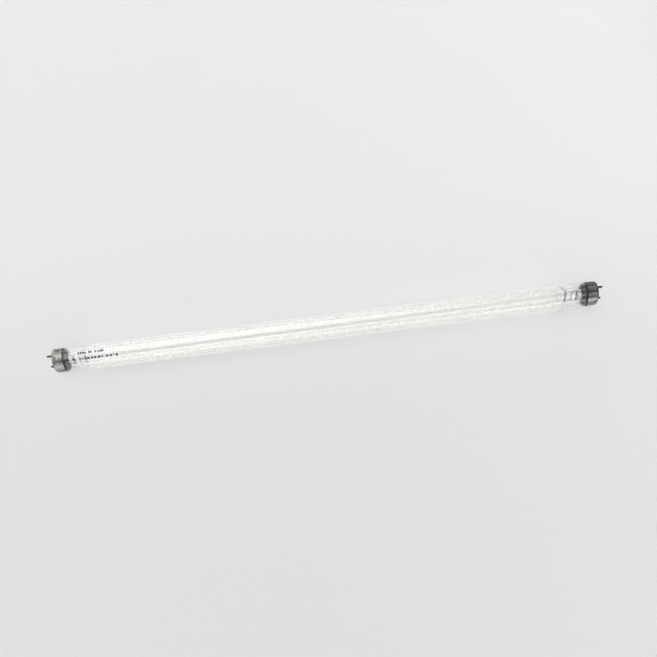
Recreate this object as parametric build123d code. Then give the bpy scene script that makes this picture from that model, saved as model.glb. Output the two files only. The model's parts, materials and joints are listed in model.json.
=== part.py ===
from build123d import *

import os

# Germicidal lamp tube: a clear glass tube with a two-pin cap at each end, lying on its side.
# Millimetres, +Z up. The tube runs along X. The origin is on the surface that the lamp lies on,
# under the middle of the lamp's length.
# Each end is drawn in a frame of its own: X is the depth behind the cap's flat outer face, counted
# towards the middle of the lamp, and Z is the line through the two pins.

# Whole lamp
cap_face_distance = 589.8
pin_line_lean = 49.0  # degrees between the line through two pins and upright, top away to +Y

# Glass tube, drawn in to a neck that the cap covers
tube_diameter = 25.4
tube_wall = 0.9
shoulder_cover = 1.7  # how far the shoulder starts inside the cap's rim
shoulder_length = 3.6
shoulder_bend = 5.0

# Cap shell, drawn from sheet, as wide as the tube, its edge turned in over the pin plate
cap_length = 11.5
cap_wall = 0.4
cap_edge_radius = 2.2
cap_lip_width = 3.2
dimple_radius = 1.1
dimple_push = 0.55  # how deep the punch goes in below the shell's outside
dimple_count = 4

# Insulating plate that carries the pins, its front edge round to fit the shell
plate_straight_edge = 0.4
plate_clearance = 0.05

# Contact pins
pin_diameter = 2.35
pin_length = 7.1
pin_pitch = 12.7
pin_tip_radius = 0.85
pin_bore_diameter = 1.2
pin_tip_wall = 0.9
shank_step = 0.175  # how far the shank in the plate stands out from the pin
front_collar_step = 0.4
back_collar_step = 0.75
back_collar_thickness = 0.6
pin_fit = 0.02

# Basing cement between the neck and the shell
cement_thickness = 1.1
cement_start_gap = 0.4  # behind the neck's end
cement_rim_setback = 0.5
cement_clearance = 0.03

# Stem: folded rim, flare, tube and flat press
pin_to_glass_gap = 0.5
fold_radius = 1.05  # of the middle of the wall
flare_start_gap = 1.0  # straight run behind the neck's end before the flare begins
flare_length = 6.1
flare_bend = 2.0
throat_bend = 5.0
stem_diameter = 10.8
stem_wall = 0.9
stem_tube_length = 3.9
pinch_length = 5.1
press_length = 4.6
press_side_wall = 1.45  # glass beside each lead
press_thickness = 2.8
press_edge_share = 0.44  # corner radius of the press as a share of its thickness
cavity_pinch_length = 2.7
cavity_end_width = 7.6
cavity_end_height = 1.4
exhaust_hole_diameter = 1.3
exhaust_hole_wall = 0.4  # glass between the exhaust tube's end and the hole

# Exhaust tube, tipped off inside the cap
exhaust_diameter = 3.6
exhaust_wall = 0.8
exhaust_length = 13.2
exhaust_tip_length = 2.6
exhaust_tip_radius = 0.7
exhaust_tip_bend = 0.45
exhaust_seat = 0.4  # how far it is let into the stem

# Lead wires
lead_diameter = 0.6
lead_seal = 0.02
lead_tip_setback = 0.1
lead_bend = 1.5
lead_straight_run = 1.4  # behind the pin, before the lead turns in
lead_in_stem_setback = 0.8
lead_to_stem_gap = 0.7
lead_press_offset = 4.65
hook_back_run = 1.1
hook_step_back = 2.4
hook_clearance = 0.03

# Electrode coil, along the line of the pins
coil_standoff = 7.8  # from the press
coil_spread = 2.05  # how much further out the leads stand at the coil than at the press
coil_tail = 1.2
coil_radius = 0.85
coil_wire_diameter = 0.5
coil_corner_diameter = 0.53  # where the wire turns out of the coil into its tail
coil_turns = 12

# Mercury
bead_diameter = 0.75
bead_depth = 27.0
bead_clearance = 0.02

# A bend of nearly the full radius that its corner allows
nearly_full = 0.99

half_length = cap_face_distance / 2
tube_radius = tube_diameter / 2
cap_radius = tube_radius
neck_radius = cap_radius - cap_wall - cement_thickness
axis_height = max(tube_radius, cap_radius)

plate_thickness = cap_edge_radius - cap_wall + plate_straight_edge
plate_back_depth = cap_wall + plate_thickness
pin_offset = pin_pitch / 2
shank_diameter = pin_diameter + 2 * shank_step
pin_back_depth = plate_back_depth + back_collar_thickness

neck_end_depth = pin_back_depth + pin_to_glass_gap + fold_radius + stem_wall / 2
shoulder_start_depth = cap_length - shoulder_cover
shoulder_end_depth = shoulder_start_depth + shoulder_length

stem_radius = stem_diameter / 2
stem_bore = stem_diameter - 2 * stem_wall
flare_start_depth = neck_end_depth + flare_start_gap
flare_end_depth = flare_start_depth + flare_length
stem_tube_end_depth = flare_end_depth + stem_tube_length
press_start_depth = stem_tube_end_depth + pinch_length
press_end_depth = press_start_depth + press_length
press_width = 2 * (lead_press_offset + press_side_wall)
cavity_end_depth = stem_tube_end_depth + cavity_pinch_length

exhaust_bore = exhaust_diameter - 2 * exhaust_wall
exhaust_seat_depth = cavity_end_depth + exhaust_seat
exhaust_hole_depth = exhaust_seat_depth + exhaust_hole_wall + exhaust_hole_diameter / 2

lead_radius = lead_diameter / 2
lead_in_stem_offset = stem_bore / 2 - lead_radius - lead_to_stem_gap
coil_depth = press_end_depth + coil_standoff
coil_lead_offset = lead_press_offset + coil_spread
coil_wire_radius = coil_wire_diameter / 2


def solid_of_line(line):
    """A solid turned about X under a line whose ends are closed down to the axis."""
    start = line @ 0
    end = line @ 1
    closing = Polyline((end.X, end.Y), (end.X, 0), (start.X, 0), (start.X, start.Y))
    return revolve(make_face(line.edges() + closing.edges()), Axis.X)


def turned_wall(points, bends, wall):
    """A shell of even wall turned about X, from the line along its middle; its ends are round."""
    middle = FilletPolyline(*points, radius=bends)
    outline = offset(middle, amount=wall / 2, side=Side.BOTH, kind=Kind.INTERSECTION)
    return revolve(make_face(outline.edges()), Axis.X)


def rod(start, end, diameter):
    """A round rod along X between two depths."""
    length = end - start
    return Pos(start + length / 2, 0, 0) * Rot(Y=90) * Cylinder(diameter / 2, length)


def fillet_front(piece, radius):
    """Round the edge that lies furthest towards the outer face of the cap."""
    front_edge = piece.edges().filter_by(GeomType.CIRCLE).sort_by(Axis.X)[0]
    return fillet(front_edge, radius)


def neck_line(inset):
    """Neck, shoulder and start of the tube, set in from the glass's outer surface."""
    return FilletPolyline(
        (neck_end_depth, neck_radius - inset),
        (shoulder_start_depth, neck_radius - inset),
        (shoulder_end_depth, tube_radius - inset),
        (half_length, tube_radius - inset),
        radius=[shoulder_bend - inset, shoulder_bend + inset],
    )


def glass_tube():
    half = solid_of_line(neck_line(0)) - solid_of_line(neck_line(tube_wall))
    left_half = Pos(-half_length, 0, 0) * half
    return left_half + Rot(Z=180) * left_half


def cap_shell():
    outside = fillet_front(rod(0, cap_length, 2 * cap_radius), cap_edge_radius)
    inner_radius = cap_radius - cap_wall
    inside = fillet_front(rod(cap_wall, cap_length, 2 * inner_radius), cap_edge_radius - cap_wall)
    shell = outside - inside - rod(0, cap_wall, 2 * (cap_radius - cap_lip_width))
    dimple_depth = plate_back_depth + plate_clearance + dimple_radius + cap_wall
    for index in range(dimple_count):
        turn = Rot(X=360 * (index + 0.5) / dimple_count)
        centre = turn * Pos(dimple_depth, 0, cap_radius + dimple_radius - dimple_push)
        shell += (centre * Sphere(dimple_radius + cap_wall)) & outside
        shell -= centre * Sphere(dimple_radius)
    return shell


def pin_plate():
    plate_radius = cap_radius - cap_wall - plate_clearance
    plate = rod(cap_wall, plate_back_depth, 2 * plate_radius)
    plate = fillet_front(plate, cap_edge_radius - cap_wall)
    for side in (1, -1):
        hole = rod(0, pin_back_depth, shank_diameter + 2 * pin_fit)
        plate -= Pos(0, 0, side * pin_offset) * hole
    return plate


def contact_pin():
    pin = fillet_front(rod(-pin_length, cap_wall, pin_diameter), pin_tip_radius)
    pin += rod(0, cap_wall, shank_diameter + 2 * front_collar_step)
    pin += rod(cap_wall, plate_back_depth, shank_diameter)
    pin += rod(plate_back_depth, pin_back_depth, shank_diameter + 2 * back_collar_step)
    pin -= rod(pin_tip_wall - pin_length, pin_back_depth, pin_bore_diameter)
    pin -= rod(-pin_length, pin_tip_wall - pin_length, lead_diameter + 2 * pin_fit)
    return pin


def cement():
    outer_radius = cap_radius - cap_wall - cement_clearance
    start = neck_end_depth + cement_start_gap
    filling = rod(start, cap_length - cement_rim_setback, 2 * outer_radius)
    return filling - solid_of_line(neck_line(-cement_clearance))


def lead_path():
    """From the pin's tip through the stem to the hook that holds the coil's tail."""
    hook = lead_radius + coil_wire_radius + hook_clearance
    hook_end = coil_depth + hook
    points = [
        (lead_tip_setback - pin_length, 0, pin_offset),
        (pin_back_depth + lead_straight_run, 0, pin_offset),
        (flare_end_depth - lead_in_stem_setback, 0, lead_in_stem_offset),
        (stem_tube_end_depth, 0, lead_in_stem_offset),
        (press_start_depth, 0, lead_press_offset),
        (press_end_depth + lead_bend, 0, lead_press_offset),
        (coil_depth - hook_step_back, -hook, coil_lead_offset),
        (hook_end, -hook, coil_lead_offset),
        (hook_end, hook, coil_lead_offset),
        (coil_depth - hook_back_run, hook, coil_lead_offset),
    ]
    hook_bend = nearly_full * hook
    bends = [lead_bend] * 6 + [hook_bend, hook_bend]
    return FilletPolyline(*points, radius=bends)


def wire_along(path, diameter):
    start = Plane(origin=path @ 0, z_dir=path % 0)
    return sweep(start * Circle(diameter / 2), path=path)


def upper_lead():
    return wire_along(lead_path(), lead_diameter)


def stem_flare():
    """The rim folded back from the neck's end, the flare and the tube behind it."""
    neck_middle = neck_radius - tube_wall / 2
    inner_fold = neck_middle - 2 * fold_radius
    fold_depth = neck_end_depth - fold_radius
    stem_middle = stem_radius - stem_wall / 2
    fold_bend = nearly_full * fold_radius
    flare = turned_wall(
        [
            (neck_end_depth + stem_wall, neck_middle),
            (fold_depth, neck_middle),
            (fold_depth, inner_fold),
            (flare_start_depth, inner_fold),
            (flare_end_depth, stem_middle),
            (stem_tube_end_depth + stem_wall, stem_middle),
        ],
        [fold_bend, fold_bend, flare_bend, throat_bend],
        stem_wall,
    )
    beyond_seal = neck_end_depth + 2 * stem_wall
    fold_middle_diameter = 2 * (neck_middle - fold_radius)
    round_the_neck = rod(neck_end_depth, beyond_seal, 2 * neck_radius)
    round_the_neck -= rod(neck_end_depth, beyond_seal, fold_middle_diameter)
    return (flare - round_the_neck) & rod(0, stem_tube_end_depth, 2 * neck_radius)


def pinched(start_depth, start_diameter, end_depth, end_size, end_corner):
    """A solid that changes from a round section to a flat one, as glass does when it is pinched."""
    corner = nearly_full * start_diameter / 2
    round_end = RectangleRounded(start_diameter, start_diameter, corner)
    flat_end = RectangleRounded(*end_size, end_corner)
    sections = [
        (Plane.YZ.offset(start_depth) * round_end).face(),
        (Plane.YZ.offset(end_depth) * flat_end).face(),
    ]
    return loft(sections)


def stem():
    press_size = (press_thickness, press_width)
    press_corner = press_edge_share * press_thickness
    glass = stem_flare()
    glass += pinched(
        stem_tube_end_depth, stem_diameter, press_start_depth, press_size, press_corner
    )
    press_face = Plane.YZ.offset(press_start_depth) * RectangleRounded(*press_size, press_corner)
    glass += extrude(press_face, amount=press_end_depth - press_start_depth)

    cavity_size = (cavity_end_height, cavity_end_width)
    cavity_corner = press_edge_share * cavity_end_height
    glass -= pinched(
        stem_tube_end_depth, stem_bore, cavity_end_depth, cavity_size, cavity_corner
    )

    hole_end = exhaust_hole_depth + exhaust_hole_diameter / 2
    glass -= rod(stem_tube_end_depth, exhaust_seat_depth, exhaust_diameter + 2 * lead_seal)
    glass -= rod(exhaust_seat_depth, hole_end, exhaust_bore)
    side_hole = Cylinder(exhaust_hole_diameter / 2, stem_radius)
    glass -= Pos(exhaust_hole_depth, stem_radius / 2, 0) * Rot(X=90) * side_hole

    lead_room = wire_along(lead_path(), lead_diameter + 2 * lead_seal)
    glass -= lead_room
    glass -= Rot(X=180) * lead_room
    return glass


def exhaust_tube():
    tip = exhaust_seat_depth - exhaust_length
    shoulder = tip + exhaust_tip_length
    tapered = Polyline(
        (tip, exhaust_tip_radius),
        (shoulder, exhaust_diameter / 2),
        (exhaust_seat_depth, exhaust_diameter / 2),
    )
    body = fillet_front(solid_of_line(tapered), exhaust_tip_bend)
    return body - rod(shoulder, exhaust_seat_depth, exhaust_bore)


def coil():
    coil_length = 2 * (coil_lead_offset - coil_tail)
    spiral = Pos(coil_depth - coil_radius, 0, -coil_length / 2) * Helix(
        pitch=coil_length / coil_turns, height=coil_length, radius=coil_radius
    )
    wound = wire_along(spiral.edge(), coil_wire_diameter)
    for side in (1, -1):
        end = Pos(coil_depth, 0, side * coil_length / 2)
        wound += end * Sphere(coil_corner_diameter / 2)
        tail_length = coil_tail + lead_diameter
        wound += end * Pos(0, 0, side * tail_length / 2) * Cylinder(coil_wire_radius, tail_length)
    return wound


def lamp_frame(piece):
    """Roll the lamp to its resting turn and lift it onto the surface."""
    return Pos(0, 0, axis_height) * Rot(X=-pin_line_lean) * piece


def both_ends(name, piece):
    """The same piece at each end; the right one is the left one turned about the pin line."""
    nodes["left_" + name] = lamp_frame(Pos(-half_length, 0, 0) * piece)
    nodes["right_" + name] = lamp_frame(Pos(half_length, 0, 0) * Rot(Z=180) * piece)


nodes = {"glass_tube": lamp_frame(glass_tube())}
both_ends("cap_shell", cap_shell())
both_ends("pin_plate", pin_plate())
both_ends("cement", cement())
both_ends("stem", stem())
both_ends("exhaust_tube", exhaust_tube())
both_ends("coil", coil())
pin = contact_pin()
lead = upper_lead()
both_ends("upper_pin", Pos(0, 0, pin_offset) * pin)
both_ends("lower_pin", Pos(0, 0, -pin_offset) * pin)
both_ends("upper_lead", lead)
both_ends("lower_lead", Rot(X=180) * lead)
bead_height = axis_height - tube_radius + tube_wall + bead_clearance + bead_diameter / 2
bead_place = Pos(bead_depth - half_length, 0, bead_height)
nodes["mercury_bead"] = bead_place * Sphere(bead_diameter / 2)

os.makedirs("parts", exist_ok=True)
for name, piece in nodes.items():
    export_step(piece, os.path.join("parts", name + ".step"))
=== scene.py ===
import json
import math
import random

import bmesh
import bpy
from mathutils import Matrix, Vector


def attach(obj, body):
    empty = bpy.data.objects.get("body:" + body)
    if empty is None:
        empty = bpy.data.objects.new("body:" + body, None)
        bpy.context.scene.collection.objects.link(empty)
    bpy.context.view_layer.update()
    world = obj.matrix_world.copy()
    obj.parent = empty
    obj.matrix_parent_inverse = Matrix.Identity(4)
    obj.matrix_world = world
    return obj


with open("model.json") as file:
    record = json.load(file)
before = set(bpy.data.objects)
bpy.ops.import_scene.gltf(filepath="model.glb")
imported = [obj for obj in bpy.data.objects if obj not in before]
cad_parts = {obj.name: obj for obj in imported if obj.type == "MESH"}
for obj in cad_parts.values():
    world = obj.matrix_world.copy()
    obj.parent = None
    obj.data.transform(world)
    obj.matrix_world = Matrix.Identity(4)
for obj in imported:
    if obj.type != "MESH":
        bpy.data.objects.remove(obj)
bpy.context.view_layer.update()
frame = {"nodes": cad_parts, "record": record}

# Shared values in metres, the same as the part's source has in millimetres.
AXIS_HEIGHT = 0.0127
TUBE_RADIUS = 0.0127
TUBE_WALL = 0.0009
INNER_RADIUS = TUBE_RADIUS - TUBE_WALL

# Share of a lamp's light that metal, board and cement hold back: the photo's shadows are faint
SHADOW_SHARE = 0.02

# Spans along X: over the first two the coating sets in and ends, over the others the glass is
# tinted dark brown, painted shade inside the caps
COATING_BEGINS = (-0.262, -0.248)
COATING_ENDS = (0.253, 0.259)
SHADE_TINT_LEFT = (-0.2798, -0.2838)
SHADE_TINT_RIGHT = (0.2792, 0.2828)


class Nodes:
    """Short ways to add and join the nodes of one material or of the world."""

    def __init__(self, tree):
        self.tree = tree
        tree.nodes.clear()

    def add(self, kind, _inputs=None, **settings):
        node = self.tree.nodes.new(kind)
        for key, value in settings.items():
            setattr(node, key, value)
        for key, value in (_inputs or {}).items():
            self.put(node.inputs[key], value)
        return node

    def put(self, socket, value):
        if isinstance(value, bpy.types.NodeSocket):
            self.tree.links.new(value, socket)
        elif value is not None:
            socket.default_value = value

    def math(self, operation, a, b=None, c=None, clamp=False):
        node = self.add("ShaderNodeMath", operation=operation, use_clamp=clamp)
        for index, value in enumerate((a, b, c)):
            self.put(node.inputs[index], value)
        return node.outputs[0]

    def product(self, a, b):
        return self.math("MULTIPLY", a, b)

    def distance(self, a, b):
        return self.math("ABSOLUTE", self.math("SUBTRACT", a, b))

    def place(self):
        """Where on the part a point is, in metres, in the row frame."""
        return self.add("ShaderNodeTexCoord").outputs["Object"]

    def axes(self):
        """The point's place as x, y and z."""
        return self.add("ShaderNodeSeparateXYZ", {0: self.place()}).outputs

    def stretched(self, scale):
        node = self.add("ShaderNodeMapping", {"Vector": self.place(), "Scale": scale})
        return node.outputs[0]

    def noise(self, vector, scale, detail=3.0, rough=0.55, distortion=0.0):
        node = self.add(
            "ShaderNodeTexNoise",
            {"Vector": vector, "Scale": scale, "Detail": detail, "Roughness": rough,
             "Distortion": distortion},
        )
        return node.outputs["Fac"]

    def ramp(self, value, low, high, out_low=0.0, out_high=1.0, smooth=False):
        node = self.add(
            "ShaderNodeMapRange",
            {"Value": value, "From Min": low, "From Max": high, "To Min": out_low,
             "To Max": out_high},
            interpolation_type="SMOOTHSTEP" if smooth else "LINEAR",
        )
        return node.outputs[0]

    def blend(self, factor, first, second, how="MIX"):
        node = self.add("ShaderNodeMix", data_type="RGBA", blend_type=how)
        for index, value in ((0, factor), (6, first), (7, second)):
            if isinstance(value, tuple):
                value = (*value, 1.0)
            self.put(node.inputs[index], value)
        return node.outputs[2]

    def bump(self, height, distance, strength=1.0):
        node = self.add(
            "ShaderNodeBump", {"Height": height, "Distance": distance, "Strength": strength}
        )
        return node.outputs[0]

    def lighting_ray(self):
        """1 for a ray that only carries light to another surface, 0 for one that shows this one."""
        path = self.add("ShaderNodeLightPath").outputs
        return self.math("MAXIMUM", path["Is Shadow Ray"], path["Is Diffuse Ray"])

    def mix(self, factor, first, second):
        return self.add("ShaderNodeMixShader", {0: factor, 1: first, 2: second}).outputs[0]

    def finish(self, shader, shadow=1.0):
        """End the tree; a shadow below 1 is the share of the light that the surface keeps back."""
        if shadow < 1.0:
            passed = self.product(self.lighting_ray(), 1.0 - shadow)
            clear = self.add("ShaderNodeBsdfTransparent").outputs[0]
            shader = self.mix(passed, shader, clear)
        self.add("ShaderNodeOutputMaterial", {"Surface": shader})


def material(name):
    made = bpy.data.materials.new(name)
    made.use_nodes = True
    return made, Nodes(made.node_tree)


def principled(nodes, **inputs):
    named = {key.replace("_", " "): value for key, value in inputs.items()}
    return nodes.add("ShaderNodeBsdfPrincipled", named).outputs[0]


def clear_glass(name, tint, wall_loss, edge_loss, wear, frost=0.0):
    """Glass that lets the lamps through, darker for light that meets its wall at a slant.

    Wear is the roughness of its haze and dust, frost the roughness where the coating covers it.
    """
    made, n = material(name)
    haze = n.noise(n.stretched((0.5, 1, 1)), 260.0, detail=4.0, rough=0.6)
    dust = n.noise(n.place(), 1900.0, detail=2.0, rough=0.5)
    spots = n.ramp(dust, 0.66, 0.78)
    rough = n.math("ADD", n.ramp(haze, 0.35, 0.75, 0.0, wear), n.product(spots, wear))
    x = n.axes()[0]
    coated = n.product(n.ramp(x, *COATING_BEGINS), n.ramp(x, *COATING_ENDS, 1.0, 0.0))
    rough = n.math("MULTIPLY_ADD", coated, frost, rough)
    # Painted shade: inside both caps the glass is tinted dark brown and made rougher, the left one
    # more
    shade_brown, shade_tint_roughness, left_shade_strength = (0.10, 0.078, 0.064), 0.45, 1.4
    shade_tint = n.math(
        "MAXIMUM", n.ramp(x, *SHADE_TINT_LEFT, 0.0, left_shade_strength, smooth=True),
        n.ramp(x, *SHADE_TINT_RIGHT, smooth=True),
    )
    shade_tint = n.product(shade_tint, n.ramp(haze, 0.3, 0.6, 0.55, 1.0))
    rough = n.math("MULTIPLY_ADD", shade_tint, shade_tint_roughness, rough)
    glass = principled(
        n, Base_Color=n.blend(shade_tint, tint, shade_brown), Roughness=rough, IOR=1.5,
        Transmission_Weight=1.0, Specular_IOR_Level=0.8,
        Normal=n.bump(haze, 0.000004, strength=0.12),
    )
    slant = n.add("ShaderNodeLayerWeight", {"Blend": 0.5}).outputs["Facing"]
    if frost:
        # At its edges the wall shows the coating that lies on its inner side, twice over
        white = n.blend(n.ramp(haze, 0.3, 0.7), (0.91, 0.907, 0.895), (0.95, 0.947, 0.935))
        lit = principled(n, Base_Color=white, Roughness=0.3)
        behind = n.add("ShaderNodeBsdfTranslucent", {"Color": white}).outputs[0]
        rim = n.product(coated, n.ramp(slant, 0.42, 0.72, 0.0, 0.72, smooth=True))
        glass = n.mix(rim, glass, n.mix(0.5, lit, behind))
    passed = n.ramp(slant, 0.4, 0.9, 1.0 - wall_loss, 1.0 - edge_loss, smooth=True)
    through = n.add("ShaderNodeBsdfTransparent", {"Color": passed}).outputs[0]
    n.finish(n.mix(n.lighting_ray(), glass, through))
    return made


def coating_material():
    """A thin white deposit, denser where it is seen at a slant, patchy and finely speckled, with a
    painted shade line and painted light towards +X.
    """
    made, n = material("coating")
    x, y, z = n.axes()
    speckle = n.noise(n.place(), 430.0, detail=4.0, rough=0.75)
    cloud = n.noise(n.stretched((0.4, 1, 1)), 45.0, detail=3.0, rough=0.6)
    density = n.product(
        n.ramp(speckle, 0.32, 0.68, 0.4, 1.6), n.ramp(cloud, 0.3, 0.7, 0.87, 1.12)
    )
    # Denser towards +X: painted light that brightens that end of the tube
    density = n.product(density, n.ramp(x, -0.26, 0.27, 1.12, 1.28))
    # Thinner along two lines, one on the upper side and one on the lower, which lies further to +Y.
    # Seen from above one over the other, they make a long grey line along the tube: painted shade.
    upper_left, upper_right, lower_shift = -0.0026, 0.0002, 0.0049
    core, reach, shade_line_depth = 0.0003, 0.0045, 0.85
    shift = n.ramp(z, AXIS_HEIGHT - 0.0005, AXIS_HEIGHT + 0.0005, lower_shift, 0.0)
    centre = n.math("ADD", n.ramp(x, 0.02, 0.25, upper_left, upper_right), shift)
    shade_line = n.ramp(n.distance(y, centre), core, reach, shade_line_depth, 0.0, smooth=True)
    density = n.product(density, n.math("SUBTRACT", 1.0, shade_line))
    # The share that one straight crossing holds back, and from it that of a slanting one
    share, shadow_share, least_cosine = 0.25, 0.01, 0.12
    shadow_ray = n.add("ShaderNodeLightPath").outputs["Is Shadow Ray"]
    single = n.product(density, n.ramp(shadow_ray, 0.0, 1.0, share, shadow_share))
    facing = n.add("ShaderNodeLayerWeight", {"Blend": 0.5}).outputs["Facing"]
    cosine = n.math("MAXIMUM", n.math("SUBTRACT", 1.0, facing), least_cosine)
    clear = n.math("POWER", n.math("SUBTRACT", 1.0, single), n.math("DIVIDE", 1.0, cosine))
    veil = n.math("SUBTRACT", 1.0, clear, clamp=True)
    white = n.blend(n.ramp(speckle, 0.35, 0.65), (0.665, 0.66, 0.647), (0.88, 0.877, 0.862))
    front = principled(
        n, Base_Color=white, Roughness=0.3, Specular_IOR_Level=1.0,
        Normal=n.bump(speckle, 0.00007, strength=0.5),
    )
    behind = n.add("ShaderNodeBsdfTranslucent", {"Color": white}).outputs[0]
    through = n.add("ShaderNodeBsdfTransparent").outputs[0]
    n.finish(n.mix(veil, through, n.mix(0.5, front, behind)))
    return made


def cap_painted_shade(n, grain):
    """Painted shade on a cap, in bands: at +X over its back and upper sides, at -X a little on top.
    """
    x, y, _ = n.axes()
    back = n.ramp(y, 0.003, 0.008, 0.0, 0.9)
    front = n.ramp(n.distance(y, -0.0045), 0.0015, 0.0035, 0.6, 0.0)
    right = n.product(n.math("MAXIMUM", back, front), n.ramp(x, 0.0, 0.01))
    top = n.ramp(n.distance(y, 0.003), 0.002, 0.005, 0.38, 0.0)
    left = n.product(top, n.ramp(x, -0.01, 0.0, 1.0, 0.0))
    return n.product(n.math("ADD", right, left), n.ramp(grain, 0.35, 0.6, 0.75, 1.0))


def metal(name, dark, light, rough_low, rough_high, streak, stain_and_shade_colour, bump=0.00002, painted_shade=False):
    """Worn metal: streaks along the drawing direction, stains and fine scratches; on the caps,
    painted shade too.
    """
    made, n = material(name)
    streaks = n.noise(n.stretched(streak), 700.0, detail=4.0, rough=0.65)
    cloud = n.noise(n.place(), 140.0, detail=4.0, rough=0.6, distortion=0.4)
    fine = n.noise(n.place(), 1700.0, detail=2.0, rough=0.6)
    colour = n.blend(n.ramp(streaks, 0.3, 0.7), dark, light)
    stains_and_shade = n.product(n.ramp(cloud, 0.44, 0.66, smooth=True), 0.75)
    # On the caps the stain mask also takes in painted shade in bands across their sides
    if painted_shade:
        stains_and_shade = n.math("MAXIMUM", stains_and_shade, cap_painted_shade(n, fine))
    colour = n.blend(stains_and_shade, colour, stain_and_shade_colour)
    rough = n.ramp(cloud, 0.3, 0.7, rough_low, rough_high)
    rough = n.math("ADD", rough, n.ramp(streaks, 0.3, 0.7, -0.05, 0.06))
    height = n.math("ADD", streaks, n.product(fine, 0.5))
    surface = principled(
        n, Base_Color=colour, Metallic=1.0, Roughness=rough,
        Normal=n.bump(height, bump, strength=0.6),
    )
    n.finish(surface, SHADOW_SHARE)
    return made


def matt(name, dark, light, scale, rough, bump):
    """A dull grainy surface: board, cement or burnt ink."""
    made, n = material(name)
    grain = n.noise(n.place(), scale, detail=5.0, rough=0.65)
    cloud = n.noise(n.place(), scale / 9.0, detail=3.0, rough=0.6)
    colour = n.blend(n.ramp(grain, 0.35, 0.7), dark, light)
    colour = n.blend(n.ramp(cloud, 0.4, 0.7, 0.0, 0.5), colour, dark)
    surface = principled(
        n, Base_Color=colour, Roughness=n.ramp(cloud, 0.3, 0.7, rough - 0.1, rough + 0.08),
        Normal=n.bump(grain, bump, strength=0.8),
    )
    n.finish(surface, SHADOW_SHARE)
    return made


def floor_material():
    """Pale seamless ground, shaded so that it comes out nearly even under the lamps."""
    made, n = material("floor")
    x, y, _ = n.axes()
    grain = n.noise(n.place(), 400.0, detail=3.0, rough=0.6)
    across = n.math("MULTIPLY_ADD", y, 0.3, x)
    shade = n.math("POWER", n.ramp(across, -0.42, 0.43), 2.2)
    colour = n.blend(shade, (0.695, 0.695, 0.695), (0.893, 0.893, 0.893))
    even = n.product(
        n.ramp(y, -0.36, 0.36, 1.0, 0.91), n.ramp(y, -0.09, 0.15, 0.975, 1.035, smooth=True)
    )
    grey = n.add("ShaderNodeCombineColor", {0: even, 1: even, 2: even}).outputs[0]
    colour = n.blend(1.0, colour, grey, "MULTIPLY")
    n.finish(principled(
        n, Base_Color=colour, Roughness=0.8, Specular_IOR_Level=0.15,
        Normal=n.bump(grain, 0.00005, strength=0.1),
    ))
    return made


MATERIALS = {
    "glass": clear_glass(
        "tube_glass", (0.99, 0.992, 0.99), wall_loss=0.005, edge_loss=0.05, wear=0.02, frost=0.15
    ),
    "stem_glass": clear_glass(
        "stem_glass", (0.97, 0.98, 0.975), wall_loss=0.03, edge_loss=0.4, wear=0.05
    ),
    # The caps' stain colour also serves as painted shade in bands across their sides
    "cap_metal": metal(
        "cap_aluminium", dark=(0.235, 0.235, 0.23), light=(0.40, 0.40, 0.395), rough_low=0.22,
        rough_high=0.42, streak=(0.12, 1, 1), stain_and_shade_colour=(0.085, 0.08, 0.07), painted_shade=True,
    ),
    "pin_metal": metal(
        "pin_nickel", dark=(0.06, 0.057, 0.052), light=(0.13, 0.125, 0.115), rough_low=0.3,
        rough_high=0.45, streak=(0.1, 1, 1), stain_and_shade_colour=(0.045, 0.04, 0.035),
    ),
    "plate": matt(
        "plate_board", dark=(0.045, 0.032, 0.026), light=(0.09, 0.062, 0.048), scale=1100.0,
        rough=0.55, bump=0.00003,
    ),
    "cement": matt(
        "basing_cement", dark=(0.035, 0.026, 0.021), light=(0.095, 0.073, 0.06), scale=900.0,
        rough=0.85, bump=0.0001,
    ),
    "lead_wire": metal(
        "lead_nickel", dark=(0.13, 0.125, 0.115), light=(0.26, 0.25, 0.235), rough_low=0.3,
        rough_high=0.5, streak=(0.2, 1, 1), stain_and_shade_colour=(0.09, 0.08, 0.07), bump=0.00001,
    ),
    "coil_wire": metal(
        "coil_tungsten", dark=(0.10, 0.098, 0.095), light=(0.28, 0.27, 0.26), rough_low=0.35,
        rough_high=0.55, streak=(1, 1, 1), stain_and_shade_colour=(0.36, 0.35, 0.33), bump=0.00001,
    ),
    "mercury": metal(
        "mercury_skin", dark=(0.74, 0.74, 0.76), light=(0.82, 0.82, 0.84), rough_low=0.08,
        rough_high=0.2, streak=(1, 1, 1), stain_and_shade_colour=(0.6, 0.6, 0.6), bump=0.000002,
    ),
}

for part in frame["record"]["subparts"]:
    node = frame["nodes"][part["node"]]
    for slot in node.material_slots:
        slot.material = MATERIALS[part["material_slot"]]


def new_object(name, mesh):
    made = bpy.data.objects.new(name, mesh)
    bpy.context.scene.collection.objects.link(made)
    return made


def mesh_from(builder, name):
    """Turn the builder's faces outwards and keep them as a mesh."""
    bmesh.ops.recalc_face_normals(builder, faces=builder.faces)
    data = bpy.data.meshes.new(name)
    builder.to_mesh(data)
    builder.free()
    return data


def add_piece(name, mesh, finish):
    """Link one rigid piece of the object with its finish and attach it to the root body."""
    made = new_object(name, mesh)
    mesh.materials.append(finish)
    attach(made, "root")


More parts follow.
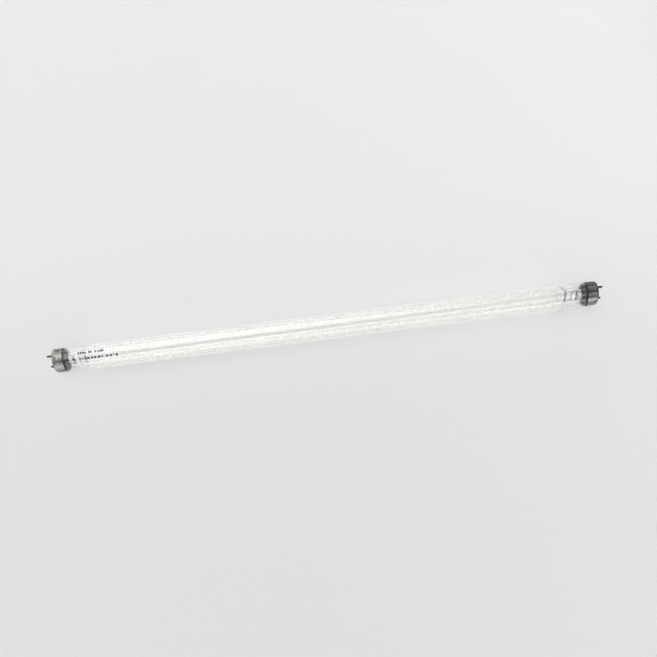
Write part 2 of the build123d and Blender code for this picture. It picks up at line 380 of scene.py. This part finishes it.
def coating_sleeve(start, end, turns=96, steps=120):
    """A closed thin sleeve on the tube's inner wall, its ends wavy and the one at -X cut aslant."""
    gap, thickness = 0.00003, 0.00005
    slant_reach, slant_side = 0.011, math.radians(50)
    outer = INNER_RADIUS - gap
    rng = random.Random(7)
    phases = [rng.uniform(0, 2 * math.pi) for _ in range(4)]

    def wave(angle, side):
        value = 0.0009 * math.sin(2 * angle + phases[side])
        value += 0.0004 * math.sin(5 * angle + phases[2 + side])
        if side == 0:
            value -= slant_reach * (1 + math.cos(angle - slant_side))
        return value

    rings = []
    mesh = bmesh.new()
    profile = [(outer, step) for step in range(steps + 1)]
    profile += [(outer - thickness, step) for step in reversed(range(steps + 1))]
    for radius, step in profile:
        share = step / steps
        ring = []
        for turn in range(turns):
            angle = 2 * math.pi * turn / turns
            low = start + wave(angle, 0)
            high = end + wave(angle, 1)
            x = low + (high - low) * share
            ring.append(mesh.verts.new((
                x, radius * math.sin(angle), AXIS_HEIGHT + radius * math.cos(angle))))
        rings.append(ring)
    for ring, following in zip(rings, rings[1:] + rings[:1]):
        for turn in range(turns):
            after = (turn + 1) % turns
            mesh.faces.new((ring[turn], ring[after], following[after], following[turn]))
    for face in mesh.faces:
        face.smooth = True
    return mesh_from(mesh, "inner_coating")


add_piece("inner_coating", coating_sleeve(-0.2555, 0.2575), coating_material())


def curved_plates(plates, radius, thickness, cuts=4):
    """Thin closed plates bent round the tube, each given as start, length, middle angle, height."""
    mesh = bmesh.new()
    for start, length, middle, height in plates:
        half = height / 2 / radius
        rings = []
        for x in (start, start + length):
            for level in (radius, radius + thickness):
                ring = []
                for step in range(cuts + 1):
                    angle = middle + half * (2 * step / cuts - 1)
                    ring.append(mesh.verts.new((
                        x, -level * math.sin(angle), AXIS_HEIGHT + level * math.cos(angle))))
                rings.append(ring)
        low0, top0, low1, top1 = rings
        for step in range(cuts):
            mesh.faces.new((top0[step], top0[step + 1], top1[step + 1], top1[step]))
            mesh.faces.new((low0[step + 1], low0[step], low1[step], low1[step + 1]))
            mesh.faces.new((low0[step], low0[step + 1], top0[step + 1], top0[step]))
            mesh.faces.new((low1[step + 1], low1[step], top1[step], top1[step + 1]))
        for end in (0, cuts):
            mesh.faces.new((low0[end], top0[end], top1[end], low1[end]))
    return mesh_from(mesh, "marks")


def burnt_marks():
    """Two rows of plain strokes burnt into the glass near one end."""
    rng = random.Random(11)
    upper_angle, lower_angle = math.radians(-11.5), math.radians(17.0)
    upper_groups = ((-0.2660, 4), (-0.2545, 2), (-0.2480, 1), (-0.2446, 3))
    upper_pitch = 0.0024
    lower_runs = ((-0.2643, -0.2405), (-0.2364, -0.2235))
    lift, thickness = 0.000003, 0.000012
    plates = []
    for start, count in upper_groups:
        for index in range(count):
            tall = rng.uniform(0.0019, 0.0027)
            length = rng.uniform(0.0013, 0.0018)
            plates.append((start + upper_pitch * index, length, upper_angle, tall))
    for x, end in lower_runs:
        while x < end:
            length = rng.uniform(0.0012, 0.0034)
            plates.append((x, length, lower_angle, rng.uniform(0.0013, 0.0025)))
            x += length + rng.uniform(0.0009, 0.0016)
    return curved_plates(plates, TUBE_RADIUS + lift, thickness)


burnt_ink = matt(
    "burnt_ink", dark=(0.012, 0.012, 0.013), light=(0.05, 0.05, 0.052), scale=2600.0, rough=0.6,
    bump=0.00001,
)
add_piece("burnt_marks", burnt_marks(), burnt_ink)

# The ground, just below the tube so that the two never share a plane
FLOOR_SIZE = 4.0
FLOOR_DROP = 0.00002
plane = bmesh.new()
bmesh.ops.create_grid(plane, x_segments=8, y_segments=8, size=FLOOR_SIZE / 2)
floor_mesh = bpy.data.meshes.new("floor")
plane.to_mesh(floor_mesh)
plane.free()
floor = new_object("floor", floor_mesh)
floor.location.z = -FLOOR_DROP
floor_mesh.materials.append(floor_material())


def soft_box(name, centre, width, height, radiance, turn=0.0, target=None):
    """A rectangular lamp of an even brightness, facing down or towards a target."""
    data = bpy.data.lights.new(name, "AREA")
    data.shape = "RECTANGLE"
    data.size = width
    data.size_y = height
    data.energy = radiance * math.pi * width * height
    lamp = new_object(name, data)
    lamp.location = centre
    lamp.rotation_euler.z = math.radians(turn)
    if target is not None:
        towards = Vector(target) - Vector(centre)
        lamp.rotation_euler = towards.to_track_quat("-Z", "Y").to_euler()


# Most soft boxes hang in one ceiling, with an open band between the back and the front ones. Their
# edges show as long soft reflections in the glass.
CEILING = 1.4
BAND_TURN = 25.0
BAND_MIDDLE = (-0.15, -0.27)

# Name, span along the open band, span across it, both from the band's middle, and radiance
CEILING_BOXES = (
    ("back_outer", (-1.35, 1.0), (0.50, 2.3), 2.4),
    ("back_inner", (-1.35, 1.0), (0.29, 0.50), 1.4),
    ("back_streak", (-0.34, 0.03), (0.25, 0.50), 0.4),
    ("front_outer", (-1.35, 1.0), (-0.95, -0.50), 2.1),
    ("front_inner", (-1.35, 1.0), (-0.50, -0.31), 1.6),
)

turn = math.radians(BAND_TURN)
for name, along, across, radiance in CEILING_BOXES:
    u, v = sum(along) / 2, sum(across) / 2
    x = BAND_MIDDLE[0] + u * math.cos(turn) - v * math.sin(turn)
    y = BAND_MIDDLE[1] + u * math.sin(turn) + v * math.cos(turn)
    width, height = along[1] - along[0], across[1] - across[0]
    soft_box(name, (x, y, CEILING), width, height, radiance, BAND_TURN)

soft_box("front_streak", (-0.24, -1.4, CEILING), 0.32, 1.2, radiance=1.2)
soft_box("back_right", (0.70, 1.5, CEILING), 1.06, 1.5, radiance=0.85)
soft_box("low_right", (1.25, -2.1, 0.5), 1.0, 0.6, radiance=1.5, target=(0.29, 0.0, 0.0))
soft_box("low_front", (0.2, -2.3, 0.8), 4.6, 1.3, radiance=1.3, target=(0.0, 0.0, 0.05))

world = bpy.data.worlds.new("studio")
bpy.context.scene.world = world
world.use_nodes = True
w = Nodes(world.node_tree)
# A room that is bright low down and at the back, and dark above and towards +X
ray = w.add("ShaderNodeTexCoord").outputs["Generated"]
x, y, z = w.add("ShaderNodeSeparateXYZ", {0: ray}).outputs
level = w.product(
    w.ramp(z, 0.0, 0.7, 1.0, 0.08), w.ramp(x, 0.05, 0.5, 1.0, 0.12, smooth=True)
)
level = w.product(level, w.ramp(y, 0.0, 0.8, 1.0, 2.0))
sky = w.add("ShaderNodeBackground", {"Color": level, "Strength": 1.0}).outputs[0]
w.add("ShaderNodeOutputWorld", {"Surface": sky})

# The picture plane is parallel to the ground and shifted, so the tube keeps its width
camera_data = bpy.data.cameras.new("camera")
camera_data.sensor_width = 36.0
camera_data.lens = 37.52
camera_data.clip_start = 0.01
camera_data.clip_end = 30.0
camera = new_object("camera", camera_data)
camera.location = (-0.01632, -0.15794, 0.75577)
camera.rotation_euler = (0.0, 0.0, math.radians(-7.193))
camera_data.shift_y = 0.2204
bpy.context.scene.camera = camera

bpy.context.scene.view_settings.view_transform = "Standard"
# The lamp's many clear walls lie one inside the other, so rays pass more of them than usual
cycles = bpy.context.scene.cycles
cycles.max_bounces = 24
cycles.transmission_bounces = 24
cycles.transparent_max_bounces = 48
